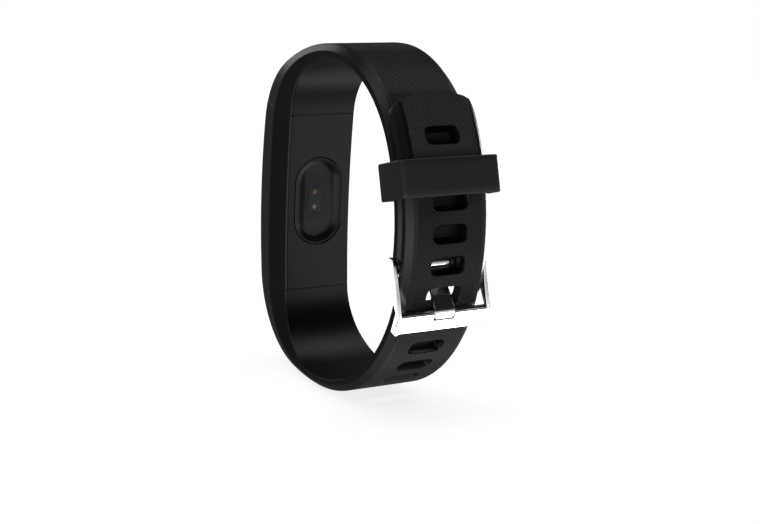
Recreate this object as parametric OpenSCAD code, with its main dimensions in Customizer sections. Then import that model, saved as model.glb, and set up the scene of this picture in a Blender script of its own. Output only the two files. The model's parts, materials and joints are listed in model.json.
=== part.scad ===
// Fitness tracker band, closed as it is worn.
// +X points from the tracker to the buckle, +Y along the forearm, +Z up the loop.
// The origin is the middle of the wrist opening.

/* [Wrist loop] */
// Width of the straps along the forearm
band_w = 19; // [18:0.5:20]
// Clear depth of the wrist opening, tracker to buckle
opening_d = 46.5; // [46:0.5:47]
// Radius of the wrist line under the keeper and the buckle
wrist_r = 40; // [39.5:0.25:40.5]
// Height of the centre of that arc above the origin
wrist_z = 2; // [1.6:0.1:2.4]
// Radius of the wrist line over the top of the wrist
upper_r = 25; // [24.75:0.25:25.25]
// Angle where the top radius starts
upper_a = 26; // [25.5:0.25:26.5]
// Radius of the wrist line under the bottom of the wrist
lower_r = 29.2; // [28.8:0.1:29.6]
// Angle where the bottom radius starts
lower_a = -18.5; // [-19:0.25:-18]

/* [Straps] */
// Thickness of each strap
strap_t = 2.5; // [2.4:0.05:2.6]
// Air between the two straps where they overlap
strap_gap = 0.25; // [0.2:0.05:0.35]
// Depth of the bevel along the strap edges
bevel_d = 1.4; // [1.2:0.1:1.6]
// Width of the bevel along the strap edges
bevel_w = 1.5; // [1.3:0.1:1.7]
// Angle of the free tip of the long strap
tip_a = 37.4; // [37:0.2:38]
// Radius of the rounded tip, seen from outside
tip_r = 19; // [17:1:22]
// Radius of the tip's corners
tip_corner_r = 3; // [2:0.25:3.5]
// Number of slots in the long strap
slot_count = 11; // [9:1:11]
// Distance from one slot to the next
slot_pitch = 6.35; // [6.3:0.05:6.4]
// Angle of the slot that the tongue goes through
tongue_slot_a = -14.5; // [-14.7:0.1:-14.3]
// Position of that slot, counted from the tip
tongue_slot = 6; // [6:1:6]
// Length of a slot across the strap
slot_w = 8.1; // [7.6:0.1:8.4]
// Height of a slot along the strap
slot_h = 4.1; // [4:0.05:4.3]

/* [Tracker] */
// Thickness of the tracker, front to back
tracker_t = 11.8; // [11.7:0.1:12.2]
// Height where the tracker meets each strap
seam_z = 20.2; // [20:0.1:20.6]
// Tilt of the seams, so that the tracker is shorter at the back
seam_tilt = 12; // [10:0.5:13]
// Width of the back face
back_w = 15.4; // [15.2:0.1:15.8]
// Width of the front face
front_w = 16.2; // [16.1:0.1:16.4]
// Thickness of the tracker's walls
wall = 1; // [0.9:0.05:1.1]
// Thickness of the back cover
cover_t = 1.2; // [1.1:0.05:1.3]
// Air at each seam between the tracker and a strap
seam_gap = 0.12; // [0.1:0.01:0.15]

/* [Display and sensor] */
// Width of the front lens
lens_w = 14.4; // [14.2:0.1:14.5]
// Height of the front lens
lens_h = 36; // [35:0.5:36.5]
// Width of the display panel
display_w = 13.2; // [12.8:0.1:13.3]
// Height of the display panel
display_h = 28; // [27:0.5:28]
// Width of the oval sensor recess
sensor_w = 11.6; // [11.2:0.1:12]
// Height of the oval sensor recess
sensor_h = 19.2; // [18.6:0.2:19.6]
// Width of the sensor window
window_w = 8.2; // [8:0.1:8.6]
// Height of the sensor window
window_h = 15.8; // [15.4:0.1:16.2]

/* [Inside the tracker] */
// Thickness of the battery
battery_t = 3.2; // [2.8:0.1:3.3]
// Height of the battery
battery_h = 25; // [22:0.5:25]
// Diameter of the vibration motor
motor_d = 8; // [7.6:0.1:8.2]
// Length of the charging tongue outside the tracker
charge_l = 7.6; // [7.2:0.1:7.7]
// Width of the charging tongue
charge_w = 12; // [11.8:0.1:12.2]

/* [Keeper and buckle] */
// Angle of the middle of the keeper
keeper_a = 15.5; // [15:0.1:16]
// Height of the keeper along the strap
keeper_h = 7.3; // [7:0.1:7.4]
// Thickness of the keeper's walls
keeper_t = 1.4; // [1.3:0.05:1.5]
// Angle of the spring bar
pin_a = -7.4; // [-7.6:0.1:-7.2]
// Angle of the middle of the crossbar
bar_a = -20.2; // [-20.4:0.1:-20]
// Height of the crossbar along the strap
bar_h = 4.1; // [3.9:0.1:4.2]
// Thickness of the crossbar
bar_t = 1.5; // [1.4:0.1:1.6]
// Thickness of the buckle's arms
arm_t = 0.9; // [0.8:0.05:1]
// Width of the tongue
tongue_w = 4.6; // [4.4:0.1:4.8]
// Diameter of the spring bar's tube
tube_d = 1.6; // [1.5:0.05:1.6]

/* [Hidden] */

$fn = 64;
// Small overlap that joins two solids, and by which a cutter runs past a face
join = 0.05;
past = 1;
// Running clearance of a pin in its bore
fit = 0.06;

function dir(a) = [cos(a), sin(a)];
function angle_of(v) = atan2(v[1], v[0]);
function arc(c, r, from, to, steps) =
    [for (i = [0:steps]) c + r * dir(from + (to - from) * i / steps)];
function reversed(list) = [for (i = [len(list) - 1:-1:0]) list[i]];
// Radius of the circle that touches circle 1 from inside, and circle 2 from inside at angle a2
function corner_r(c1, r1, c2, r2, a2) =
    let (d = c2 + r2 * dir(a2) - c1) (d * d - r1 * r1) / (2 * (d * dir(a2) - r1));
function corner_c(c2, r2, a2, r) = c2 + (r2 - r) * dir(a2);

// Wrist arcs
wrist_c = [opening_d / 2 - wrist_r, wrist_z];
upper_c = wrist_c + (wrist_r - upper_r) * dir(upper_a);
lower_c = wrist_c + (wrist_r - lower_r) * dir(lower_a);
layer = strap_t + strap_gap;
// Step in size and angle where one stretch of strap runs into the next
slim = 0.01;
buried_a = 1;
long_in_r = wrist_r + layer;
long_out_r = long_in_r + strap_t;
low_in_r = lower_r + layer;
low_out_r = low_in_r + strap_t;
// Angle where a strap of even thickness turns into its thick end
thick_a = 90;

// Front and back of the tracker
back_x = -opening_d / 2;
front_x = back_x - tracker_t;
back_r = 240;
front_r = 140;
back_c = [back_x + back_r, 0];
front_c = [front_x + front_r, 0];
back_end_a = 4.6;
front_end_a = 7;
// Depth of the widest line of the tracker, from its front
widest_d = 7.1;
widest_x = front_x + widest_d;

// Outer and inner corner arcs above and below the tracker
top_r = 44;
top_c = upper_c + (upper_r + strap_t - top_r) * dir(thick_a);
bottom_r = 56;
bottom_c = lower_c + (low_out_r - bottom_r) * dir(-thick_a);
up_out_r = corner_r(top_c, top_r, front_c, front_r, 180 - front_end_a);
up_out_c = corner_c(front_c, front_r, 180 - front_end_a, up_out_r);
up_in_r = corner_r(upper_c, upper_r, back_c, back_r, 180 - back_end_a);
up_in_c = corner_c(back_c, back_r, 180 - back_end_a, up_in_r);
low_corner_r = corner_r(bottom_c, bottom_r, front_c, front_r, 180 + front_end_a);
low_corner_c = corner_c(front_c, front_r, 180 + front_end_a, low_corner_r);
low_bend_r = corner_r(lower_c, low_in_r, back_c, back_r, 180 + back_end_a);
low_bend_c = corner_c(back_c, back_r, 180 + back_end_a, low_bend_r);
up_out_a = angle_of(up_out_c - top_c);
up_in_a = angle_of(up_in_c - upper_c);
low_corner_a = 360 + angle_of(low_corner_c - bottom_c);
low_bend_a = 360 + angle_of(low_bend_c - lower_c);
end_a = 360 - thick_a;

outer_line = concat(
    arc(top_c, top_r, thick_a, up_out_a, 16),
    arc(up_out_c, up_out_r, up_out_a + 2, 180 - front_end_a, 14),
    arc(front_c, front_r, 180 - front_end_a + 1, 180 + front_end_a - 1, 12),
    arc(low_corner_c, low_corner_r, 180 + front_end_a, low_corner_a - 2, 14),
    arc(bottom_c, bottom_r, low_corner_a, end_a, 16));
inner_line = concat(
    arc(upper_c, upper_r, thick_a, up_in_a, 6),
    arc(up_in_c, up_in_r, up_in_a + 3, 180 - back_end_a, 18),
    arc(back_c, back_r, 180 - back_end_a + 0.5, 180 + back_end_a - 0.5, 12),
    arc(low_bend_c, low_bend_r, 180 + back_end_a, low_bend_a - 3, 18),
    arc(lower_c, low_in_r, low_bend_a, end_a, 6));

// Depths inside the tracker, from the front
lens_t = 1.2;
lens_back_x = front_x + lens_t;
seat_x = lens_back_x + 0.15;
front_wall_x = seat_x + 0.8;
display_x = seat_x + 0.1;
display_t = 1.5;
board_x = display_x + display_t + 0.5;
board_t = 0.8;
board_back_x = board_x + board_t;
battery_x = board_back_x + 1.2;
cover_x = back_x - cover_t;
cavity_h = 37.2;
cavity_w = front_w - 2 * wall;
board_w = 13.4;
board_h = 35;

// Vibration motor
motor_z = 14.1;
motor_t = 2.7;
motor_x = board_back_x + 0.9;
motor_wall = 0.25;
motor_shaft_d = 0.8;

// Clearances and corners inside the tracker
lens_fit = 0.1;
lens_corner_r = 3;
display_gap = 0.15;
gasket_t = 0.25;
gasket_in = 0.3;
gasket_out = 1.1;
gasket_in_corner_r = 0.6;
gasket_out_corner_r = 1;
boss_r = 1.1;
battery_corner_r = 0.8;

// Chips on the board: size out from the board, across it and along it
chip_t = 0.8;
processor_size = 5;
motion_size = 2;
antenna_t = 1;
antenna_w = 3.2;
antenna_h = 1.6;
antenna_y = -4.6;
antenna_z = -17;
processor_z = 3;
motion_y = 2;
motion_z = -3;

// Charging tongue, and the clearances round it and round the upper lug
lug_wall = 0.4;
lug_root = 2;
lug_gap = 0.2;
plug_gap = 0.3;
plug_end_gap = 0.5;
plug_side_gap = 0.1;
charge_t = 2.2;
charge_x = back_x - 2.8;
charge_end = -seam_z - charge_l;
charge_root = -16.6;
lug_w = 12;
lug_end = seam_z + 4.6;

// Spring bar, keeper and buckle
pin_r = wrist_r + strap_t / 2 - 0.35;
pin_c = wrist_c + pin_r * dir(pin_a);
lug_r = 1.6;
lug_bore_gap = 0.1;
lug_notch_gap = 0.3;
tube_l = 18.6;
pin_tip_d = 0.84;
pin_out = band_w / 2 + 0.25 + arm_t - 0.05;
flange_out = tube_l / 2 - 0.45;
flange_l = 0.95;
flange_d = 1;
arm_in = band_w / 2 + 0.25;
arm_pin_r = 1.8;
bar_gap = 0.3;
bar_corner_r = 0.3;
bar_r = long_out_r + bar_gap + bar_t / 2;
bar_c = wrist_c + bar_r * dir(bar_a);
notch_h = 1.7;
notch_d = 0.9;
notch_gap = 0.15;
barrel_r = 1.45;
keeper_gap = 0.35;
keeper_in_r = wrist_r - keeper_gap;
keeper_out_r = long_out_r + keeper_gap;
keeper_edge_r = 1.7;
keeper_foot_r = 0.6;
keeper_foot_t = 0.3;
keeper_bore_a = 8;

// Extrudes an outline drawn in X and Z along Y
module across(w) {
    rotate([90, 0, 0])
        linear_extrude(w, center = true) children();
}

// Extrudes an outline drawn in Y and Z from x0 to x1
module through(x0, x1) {
    translate([x0, 0, 0])
        rotate([90, 0, 90])
            linear_extrude(x1 - x0) children();
}

module box(x0, x1, w, z0, z1) {
    translate([x0, -w / 2, z0]) cube([x1 - x0, w, z1 - z0]);
}

module stadium(w, h) {
    square([w, h - w], center = true);
    for (s = [-1, 1]) translate([0, s * (h - w) / 2]) circle(d = w);
}

module rounded(w, h, r) {
    square([w - 2 * r, h], center = true);
    square([w, h - 2 * r], center = true);
    for (x = [-1, 1], y = [-1, 1]) translate([x * (w / 2 - r), y * (h / 2 - r)]) circle(r);
}

// A stretch of strap on a true arc, with both outer edges bevelled. It is drawn slimmer by
// slim all round, so that its end can lie buried in the stretch before it.
module strap_arc(c, r_in, from, to, slim) {
    side = band_w / 2 - slim;
    flat = band_w / 2 - bevel_w;
    r_out = r_in + strap_t;
    translate([c[0], 0, c[1]])
        rotate([90, 0, 0])
            rotate_extrude(start = from, angle = to - from, $fn = 180)
                polygon([
                    [r_in + slim, -side], [r_in + slim, side], [r_out - bevel_d, side],
                    [r_out - slim, flat], [r_out - slim, -flat], [r_out - bevel_d, -side]]);
}

// Places a child at a point of an arc, its X axis pointing outwards and its Z axis up the strap
module on_arc(c, r, a) {
    translate([c[0], 0, c[1]])
        rotate([0, -a, 0])
            translate([r, 0, 0]) children();
}

// Everything between the two seams, or beyond one of them
function seam_at(x, gap) = seam_z + gap - (x - widest_x) * tan(seam_tilt);
reach = 60;
module between_seams() {
    polygon([
        [-reach, seam_at(-reach, 0)], [0, seam_at(0, 0)],
        [0, -seam_at(0, 0)], [-reach, -seam_at(-reach, 0)]]);
}
module beyond_seam(side) {
    polygon([
        [-reach, side * seam_at(-reach, seam_gap)], [0, side * seam_at(0, seam_gap)],
        [reach, side * reach], [-reach, side * reach]]);
}

module tracker_outline() {
    intersection() {
        polygon(concat(outer_line, reversed(inner_line)));
        between_seams();
    }
}

// The tracker's six-sided section, drawn in X and Y
module tracker_section() {
    polygon([
        [front_x - join, front_w / 2], [widest_x, band_w / 2], [back_x + join, back_w / 2],
        [back_x + past, back_w / 2], [back_x + past, -back_w / 2],
        [back_x + join, -back_w / 2], [widest_x, -band_w / 2], [front_x - join, -front_w / 2]]);
}

module tracker_solid() {
    intersection() {
        across(band_w + past) tracker_outline();
        translate([0, 0, -reach / 2]) linear_extrude(reach) tracker_section();
    }
}

// Thick end of a strap, from its seam to the strap of even thickness
module strap_end(side) {
    edge_z = side > 0 ? upper_c[1] + upper_r + strap_t : -lower_c[1] + low_out_r;
    intersection() {
        across(band_w) intersection() {
            polygon(concat(outer_line, reversed(inner_line)));
            beyond_seam(side);
        }
        linear_extrude(2 * reach, center = true)
            polygon([
                [front_x, front_w / 2], [widest_x, band_w / 2], [0, band_w / 2],
                [0, -band_w / 2], [widest_x, -band_w / 2], [front_x, -front_w / 2]]);
        through(-reach, reach)
            polygon([
                [-band_w / 2, 0], [-band_w / 2, side * (edge_z - bevel_d)],
                [-band_w / 2 + bevel_w, side * (edge_z + join)],
                [band_w / 2 - bevel_w, side * (edge_z + join)],
                [band_w / 2, side * (edge_z - bevel_d)], [band_w / 2, 0]]);
    }
}

module tracker_case() {
    color("#1b1b1d")
        difference() {
            union() {
                intersection() {
                    tracker_solid();
                    box(-reach, cover_x, reach, -reach / 2, reach / 2);
                }
                box(charge_x - charge_t / 2 - lug_wall, charge_x + charge_t / 2 + lug_wall,
                    lug_w, seam_z - lug_root, lug_end);
            }
            box(front_wall_x, cover_x + past, cavity_w, -cavity_h / 2, cavity_h / 2);
            through(-reach, seat_x) rounded(lens_w + lens_fit, lens_h + lens_fit, lens_corner_r);
            through(-reach, front_wall_x + past)
                square([display_w + 2 * display_gap, display_h + 4 * display_gap], center = true);
            box(charge_x - charge_t / 2, charge_x + charge_t / 2,
                charge_w, -reach, charge_root - plug_end_gap);
            gasket_ring(cover_x - gasket_t, cover_x + past);
        }
    color("#1b1b1d")
        for (y = [-1, 1], z = [-1, 1])
            translate([front_wall_x - join, y * screw_y, z * screw_z])
                rotate([0, 90, 0])
                    difference() {
                        cylinder(h = board_x - front_wall_x + join, r = boss_r);
                        translate([0, 0, -past]) cylinder(h = reach, r = screw_r);
                    }
}
screw_y = 5.6;
screw_z = 16.4;
screw_r = 0.45;
screw_head_t = 0.45;
screw_head_r = 0.9;
screw_l = 2.2;

module gasket_ring(x0, x1) {
    through(x0, x1)
        difference() {
            rounded(cavity_w + gasket_out, cavity_h + gasket_out, gasket_out_corner_r);
            rounded(cavity_w + gasket_in, cavity_h + gasket_in, gasket_in_corner_r);
        }
}

module case_gasket() {
    color("#3a3a3e") gasket_ring(cover_x - gasket_t, cover_x);
}

module back_cover() {
    color("#202023")
        difference() {
            intersection() {
                tracker_solid();
                box(cover_x, 0, reach, -reach / 2, reach / 2);
            }
            through(-reach, 0) stadium(sensor_w, sensor_h);
        }
}

module front_lens() {
    color("#0a0a0c")
        intersection() {
            across(lens_w) tracker_outline();
            through(-reach, lens_back_x) rounded(lens_w, lens_h, lens_corner_r);
        }
}

module lens_adhesive() {
    color("#2a2a2a")
        through(lens_back_x, seat_x)
            difference() {
                rounded(lens_w, lens_h, lens_corner_r);
                square([display_w + 2 * display_gap, display_h + 4 * display_gap], center = true);
            }
}

module display_panel() {
    color("#101418") box(display_x, display_x + display_t, display_w, -display_h / 2, display_h / 2);
}

flex_t = 0.15;
flex_w = 8;
flex_tail = 3;
flex_rise = 2;
module display_flex() {
    color("#b5651d") {
        top = display_h / 2;
        box(display_x + display_t, display_x + display_t + flex_t, flex_w, top - flex_tail, top + flex_t);
        box(display_x + display_t, board_x, flex_w, top, top + flex_t);
        box(board_x - flex_t, board_x, flex_w, top, top + flex_rise);
    }
}

touch_z = -16.4;
touch_t = 0.3;
touch_r = 1.6;
touch_post_r = 0.5;
module touch_pad() {
    color("#c8a24a")
        translate([front_wall_x, 0, touch_z])
            rotate([0, 90, 0]) {
                cylinder(h = touch_t, r = touch_r);
                cylinder(h = board_x - front_wall_x, r = touch_post_r);
            }
}

module main_board() {
    color("#14532d")
        difference() {
            box(board_x, board_back_x, board_w, -board_h / 2, board_h / 2);
            for (y = [-1, 1], z = [-1, 1])
                translate([board_x - past, y * screw_y, z * screw_z])
                    rotate([0, 90, 0]) cylinder(h = board_t + 2 * past, r = screw_r + 0.1);
        }
}

module processor_chip() {
    color("#222222")
        translate([board_back_x, -processor_size / 2, processor_z])
            cube([chip_t, processor_size, processor_size]);
}

module motion_sensor_chip() {
    color("#2d2d2d")
        translate([board_back_x, motion_y, motion_z])
            cube([chip_t, motion_size, motion_size]);
}

module radio_antenna() {
    color("#d9d4c5")
        translate([board_back_x, antenna_y, antenna_z]) cube([antenna_t, antenna_w, antenna_h]);
}

module board_screws() {
    color("#c9c9cc")
        for (y = [-1, 1], z = [-1, 1])
            translate([board_back_x + screw_head_t, y * screw_y, z * screw_z])
                rotate([0, -90, 0]) {
                    cylinder(h = screw_head_t, r = screw_head_r);
                    cylinder(h = screw_l, r = screw_r);
                }
}

battery_w = 12;
battery_z0 = -15.9;
battery_end = battery_z0 + battery_h;
module battery() {
    color("#c0c4c8")
        translate([battery_x + battery_t / 2, 0, battery_z0 + battery_h / 2])
            linear_extrude(battery_h, center = true) rounded(battery_t, battery_w, battery_corner_r);
}

lead_r = 0.35;
lead_y = 3.6;
lead_rise = 0.9;
lead_x = battery_x + 1;
module battery_leads() {
    color("#b01818")
        for (y = [-lead_y, lead_y])
            translate([lead_x, y, battery_end]) {
                cylinder(h = lead_rise, r = lead_r);
                translate([0, 0, lead_rise]) sphere(lead_r);
                translate([board_back_x - lead_x, 0, lead_rise])
                    rotate([0, 90, 0]) cylinder(h = lead_x - board_back_x, r = lead_r);
            }
}

module motor_at(x) {
    translate([x, 0, motor_z]) rotate([0, 90, 0]) children();
}

module motor_case() {
    color("#b8bcc0")
        motor_at(motor_x)
            difference() {
                cylinder(h = motor_t, d = motor_d);
                translate([0, 0, motor_wall])
                    cylinder(h = motor_t - 2 * motor_wall, d = motor_d - 2 * motor_wall);
            }
}

module motor_shaft() {
    color("#8e9296")
        motor_at(motor_x + motor_wall)
            cylinder(h = motor_t - 2 * motor_wall, d = motor_shaft_d);
}

hub_r = 1;
weight_t = 1.6;
weight_x = motor_x + motor_wall + 0.3;
sweep_r = motor_d / 2 - motor_wall - 0.25;
module motor_weight() {
    color("#6e6a62")
        motor_at(weight_x)
            difference() {
                union() {
                    cylinder(h = weight_t, r = hub_r);
                    intersection() {
                        cylinder(h = weight_t, r = sweep_r);
                        translate([0, -reach / 2, 0]) cube([reach, reach, weight_t]);
                    }
                }
                translate([0, 0, -past]) cylinder(h = 2 * past + weight_t, d = motor_shaft_d + 2 * fit);
            }
}

// Oval sensor opening in the back, from the outside in
bezel_x0 = back_x - 1.7;
window_x0 = back_x - 1.4;
window_x1 = back_x - 0.7;
bezel_fit = 0.1;
window_fit = 0.04;
rim = 0.4;
slope_fn = 32;
module sensor_bezel() {
    color("#0e0e10")
        difference() {
            through(bezel_x0, back_x - bezel_fit) stadium(sensor_w - bezel_fit, sensor_h - bezel_fit);
            through(bezel_x0 - past, 0) stadium(window_w, window_h);
            hull() {
                through(window_x1 - join, window_x1) stadium(window_w, window_h, $fn = slope_fn);
                through(back_x, back_x + join)
                    stadium(sensor_w - 2 * rim, sensor_h - 2 * rim, $fn = slope_fn);
            }
        }
}

module sensor_window() {
    color("#15161a")
        through(window_x0, window_x1) stadium(window_w - window_fit, window_h - window_fit);
}

sensor_x0 = back_x - 2.7;
sensor_x1 = sensor_x0 + 0.5;
sensor_board_w = 9;
sensor_board_h = 16.8;
guard_w = 2.7;
guard_h = 5;
die_z = 1.6;
die_r = 0.5;
die_t = 0.5;
guard_gap = 0.1;
guard_bore_r = die_r + 0.15;
module sensor_board() {
    color("#173f2a") box(sensor_x0, sensor_x1, sensor_board_w, -sensor_board_h / 2, sensor_board_h / 2);
}

module sensor_light_guard() {
    color("#1c1f26")
        difference() {
            box(sensor_x1, window_x0 - guard_gap, guard_w, -guard_h / 2, guard_h / 2);
            for (z = [-die_z, die_z])
                translate([sensor_x1 - past, 0, z])
                    rotate([0, 90, 0]) cylinder(h = reach, r = guard_bore_r);
        }
}

module die(z) {
    translate([sensor_x1, 0, z])
        rotate([0, 90, 0]) cylinder(h = die_t, r = die_r);
}
module sensor_emitter() {
    color("#d8a63a") die(die_z);
}
module sensor_photodiode() {
    color("#cfd3d8") die(-die_z);
}

contact_t = 0.1;
contact_w = 1;
contact_pitch = 2.5;
contact_root = charge_end + 6.8;
module charging_tongue() {
    color("#17181a")
        box(charge_x - charge_t / 2, charge_x + charge_t / 2,
            charge_w - plug_side_gap, charge_end, charge_root);
}

module charging_contacts() {
    color("#d4af37")
        for (i = [0:3]) {
            outer = i == 0 || i == 3;
            tip_z = charge_end + (outer ? 0.4 : 1.2);
            translate([charge_x + charge_t / 2, (i - 1.5) * contact_pitch - contact_w / 2, tip_z])
                cube([contact_t, contact_w, contact_root - tip_z]);
        }
}

module upper_strap() {
    color("#19191b")
        difference() {
            union() {
                strap_end(1);
                strap_arc(upper_c, upper_r, upper_a, thick_a + buried_a, slim);
                strap_arc(wrist_c, wrist_r, pin_a + 1.6, upper_a + buried_a, 2 * slim);
                translate([pin_c[0], 0, pin_c[1]])
                    rotate([90, 0, 0]) cylinder(h = band_w, r = lug_r, center = true);
            }
            translate([pin_c[0], 0, pin_c[1]])
                rotate([90, 0, 0]) cylinder(h = band_w + 2 * past, d = tube_d + lug_bore_gap, center = true);
            translate([pin_c[0], 0, pin_c[1]])
                cube([2 * lug_r + past, tongue_w + 2 * lug_notch_gap, 2 * (lug_r + lug_notch_gap)],
                    center = true);
            box(charge_x - charge_t / 2 - lug_wall - lug_gap, charge_x + charge_t / 2 + lug_wall + lug_gap,
                lug_w + 2 * lug_gap, 0, lug_end + 2 * lug_gap);
        }
}

// The tip's outline is wider than the strap and runs below the block that it is cut from
tip_overlap = 0.1;
tip_reach = 12;
tip_cut = 9;
// Outline of the tip, drawn across the strap and up it: a wide arc with rounded corners
module tip_outline() {
    side = band_w / 2 + tip_overlap;
    corner_y = side - tip_corner_r;
    corner_z = sqrt(pow(tip_r - tip_corner_r, 2) - corner_y * corner_y) - tip_r;
    corner_a = atan2(corner_z + tip_r, corner_y);
    polygon(concat(
        [[side, -tip_reach]],
        arc([corner_y, corner_z], tip_corner_r, 0, corner_a, 7),
        arc([0, -tip_r], tip_r, corner_a + 3, 180 - corner_a - 3, 16),
        arc([-corner_y, corner_z], tip_corner_r, 180 - corner_a, 180, 7),
        [[-side, -tip_reach]]));
}

// Places the cutter of slot i, counted from the tip
module at_slot(i) {
    s = (i - tongue_slot) * slot_pitch;
    a = tongue_slot_a - s / long_out_r * 180 / PI;
    low = tongue_slot_a - lower_a;
    rest = s - low / 180 * PI * long_out_r;
    if (a > lower_a)
        on_arc(wrist_c, long_in_r, a) children();
    else
        on_arc(lower_c, low_in_r, lower_a - rest / low_out_r * 180 / PI) children();
}

module slot_cutter() {
    through(-past, strap_t + past) rotate(90) stadium(slot_h, slot_w);
}

module lower_strap() {
    color("#19191b")
        difference() {
            union() {
                strap_end(-1);
                strap_arc(lower_c, low_in_r, -thick_a - buried_a, lower_a, slim);
                strap_arc(wrist_c, long_in_r, lower_a - buried_a, tip_a + 3, 2 * slim);
            }
            on_arc(wrist_c, long_in_r, tip_a)
                through(-2 * past, strap_t + 2 * past)
                    difference() {
                        translate([-band_w, -tip_cut]) square([2 * band_w, 2 * tip_cut]);
                        tip_outline();
                    }
            for (i = [1:slot_count]) at_slot(i) slot_cutter();
            box(charge_x - charge_t / 2 - plug_gap, charge_x + charge_t / 2 + contact_t + plug_gap,
                charge_w + 2 * lug_gap, charge_end - plug_end_gap, 0);
        }
}

module keeper() {
    w = band_w + 2 * keeper_gap + 2 * keeper_t;
    depth = keeper_out_r - keeper_in_r + 2 * keeper_t + keeper_foot_t;
    mid_r = keeper_out_r + keeper_t - depth / 2;
    color("#1d1d1f")
        difference() {
            on_arc(wrist_c, mid_r, keeper_a)
                linear_extrude(keeper_h, center = true) {
                    rounded(depth, w, keeper_edge_r);
                    translate([-depth / 4, 0]) rounded(depth / 2, w, keeper_foot_r);
                }
            translate([wrist_c[0], 0, wrist_c[1]])
                rotate([90, 0, 0])
                    rotate_extrude(start = keeper_a - keeper_bore_a, angle = 2 * keeper_bore_a, $fn = 180)
                        translate([keeper_in_r, -band_w / 2 - keeper_gap])
                            square([keeper_out_r - keeper_in_r, band_w + 2 * keeper_gap]);
        }
}

// One arm of the buckle, drawn in X and Z
module arm_outline() {
    foot = bar_c + (bar_h / 2 - 0.2) * dir(bar_a - 90);
    top = bar_c + (bar_h / 2) * dir(bar_a + 90);
    out_edge = bar_t / 2 * dir(bar_a);
    translate(pin_c) circle(arm_pin_r);
    polygon([
        pin_c + arm_pin_r * dir(bar_a + 20), top + out_edge, foot + out_edge,
        foot - out_edge, top - out_edge, pin_c - arm_pin_r * dir(bar_a - 2)]);
}

module buckle_frame() {
    color("#e6e8ea")
        difference() {
            union() {
                for (s = [-1, 1])
                    translate([0, s * (arm_in + arm_t / 2), 0]) across(arm_t) arm_outline();
                on_arc(wrist_c, bar_r, bar_a)
                    rotate([90, 0, 0])
                        linear_extrude(2 * (arm_in + arm_t), center = true)
                            rounded(bar_t, bar_h, bar_corner_r);
            }
            translate([pin_c[0], 0, pin_c[1]])
                rotate([90, 0, 0]) cylinder(h = reach, d = pin_tip_d + 2 * fit, center = true);
            on_arc(wrist_c, bar_r + bar_t / 2 - notch_d, bar_a)
                translate([0, -tongue_w / 2 - notch_gap, bar_h / 2 - notch_h])
                    cube([notch_d + past, tongue_w + 2 * notch_gap, notch_h + past]);
        }
}

function polar(r, a) = wrist_c + r * dir(a);
module buckle_tongue() {
    lift = long_out_r + bar_gap;
    color("#dfe1e4")
        difference() {
            union() {
                translate([pin_c[0], 0, pin_c[1]])
                    rotate([90, 0, 0]) cylinder(h = tongue_w, r = barrel_r, center = true);
                across(tongue_w)
                    polygon([
                        polar(pin_r - 0.5, pin_a - 1.4), polar(pin_r, pin_a - 5),
                        polar(lift + 0.7, tongue_slot_a - 2.4), polar(lift + 0.75, bar_a + 0.7),
                        polar(lift + 1.65, bar_a + 0.7), polar(lift + 1.65, tongue_slot_a - 1.7),
                        polar(pin_r + 1, pin_a - 4.2), polar(pin_r + 1, pin_a - 1.4)]);
            }
            translate([pin_c[0], 0, pin_c[1]])
                rotate([90, 0, 0]) cylinder(h = band_w, d = tube_d + 2 * fit, center = true);
        }
}

module spring_bar_tube() {
    color("#aeb2b6")
        translate([pin_c[0], 0, pin_c[1]])
            rotate([90, 0, 0])
                difference() {
                    cylinder(h = tube_l, d = tube_d, center = true);
                    cylinder(h = 2 * flange_out, d = flange_d + 0.1, center = true);
                    cylinder(h = tube_l + past, d = pin_tip_d + 2 * fit, center = true);
                }
}

// Sprung end pin: a flange inside the tube and a tip that goes through the arm
module end_pin(side) {
    color("#9aa0a5")
        translate([pin_c[0], 0, pin_c[1]])
            rotate([-90 * side, 0, 0]) {
                translate([0, 0, flange_out - flange_l]) cylinder(h = flange_l - join, d = flange_d);
                translate([0, 0, flange_out - flange_l])
                    cylinder(h = pin_out - flange_out + flange_l, d = pin_tip_d);
            }
}

module spring_bar_pin_near() {
    end_pin(-1);
}

module spring_bar_pin_far() {
    end_pin(1);
}

// Round wire wound into a coil, as one closed solid
module coil(wire_r, coil_r, length, turns) {
    sides = 6;
    per_turn = 10;
    rings = turns * per_turn;
    points = [for (i = [0:rings], k = [0:sides - 1])
        let (a = 360 * i / per_turn, b = 360 * k / sides, r = coil_r + wire_r * cos(b))
        [r * cos(a), r * sin(a), length * (i / rings - 0.5) + wire_r * sin(b)]];
    faces = concat(
        [[for (k = [0:sides - 1]) k]],
        [for (i = [0:rings - 1], k = [0:sides - 1])
            let (n = (k + 1) % sides)
            [i * sides + k, (i + 1) * sides + k, (i + 1) * sides + n]],
        [for (i = [0:rings - 1], k = [0:sides - 1])
            let (n = (k + 1) % sides)
            [i * sides + k, (i + 1) * sides + n, i * sides + n]],
        [[for (k = [sides - 1:-1:0]) rings * sides + k]]);
    polyhedron(points, faces);
}

module spring_bar_coil() {
    color("#7d8286")
        translate([pin_c[0], 0, pin_c[1]])
            rotate([90, 0, 0])
                coil(0.09, 0.38, 2 * (flange_out - flange_l) - 0.3, 16);
}

tracker_case();
back_cover();
case_gasket();
front_lens();
lens_adhesive();
display_panel();
display_flex();
touch_pad();
main_board();
processor_chip();
motion_sensor_chip();
radio_antenna();
board_screws();
battery();
battery_leads();
motor_case();
motor_shaft();
motor_weight();
sensor_bezel();
sensor_window();
sensor_board();
sensor_light_guard();
sensor_emitter();
sensor_photodiode();
charging_tongue();
charging_contacts();
upper_strap();
lower_strap();
keeper();
buckle_frame();
buckle_tongue();
spring_bar_tube();
spring_bar_pin_near();
spring_bar_pin_far();
spring_bar_coil();
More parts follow.
